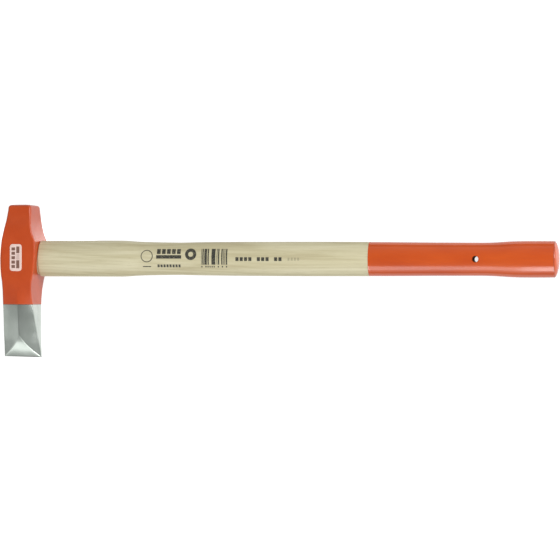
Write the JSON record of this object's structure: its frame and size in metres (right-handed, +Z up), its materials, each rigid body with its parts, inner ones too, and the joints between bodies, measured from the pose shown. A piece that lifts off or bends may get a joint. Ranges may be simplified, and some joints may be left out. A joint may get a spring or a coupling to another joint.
{
  "type": "splitting maul",
  "caption": "Long-handled splitting maul with a square poll, a wedge-shaped bit, a hickory handle and an orange dipped grip with a hanging hole.",
  "frame": {"origin": "on the lower cheek's flat face, straight under the centre of the eye", "axes": "+X runs along the handle from the head to the butt, +Y points to the poll, -Y to the cutting edge, and +Z points up out of the upper cheek"},
  "size_m": [0.8014, 0.2206, 0.0565],
  "materials": {
    "painted_head": "semi-gloss orange paint over forged steel, with the bit ground bare",
    "hickory": "smooth sanded hickory with fine straight grain",
    "wedge_wood": "sawn hardwood",
    "wedge_steel": "bare turned steel",
    "dip_coat": "glossy orange dipped lacquer",
    "label_film": "white printed film"
  },
  "bodies": {
    "root": {"maul_head": "painted_head", "hickory_handle": "hickory", "eye_wood_wedge": "wedge_wood", "ring_wedge_upper": "wedge_steel", "ring_wedge_lower": "wedge_steel", "grip_dip_coating": "dip_coat", "cheek_label": "label_film"}
  },
  "joints": []
}
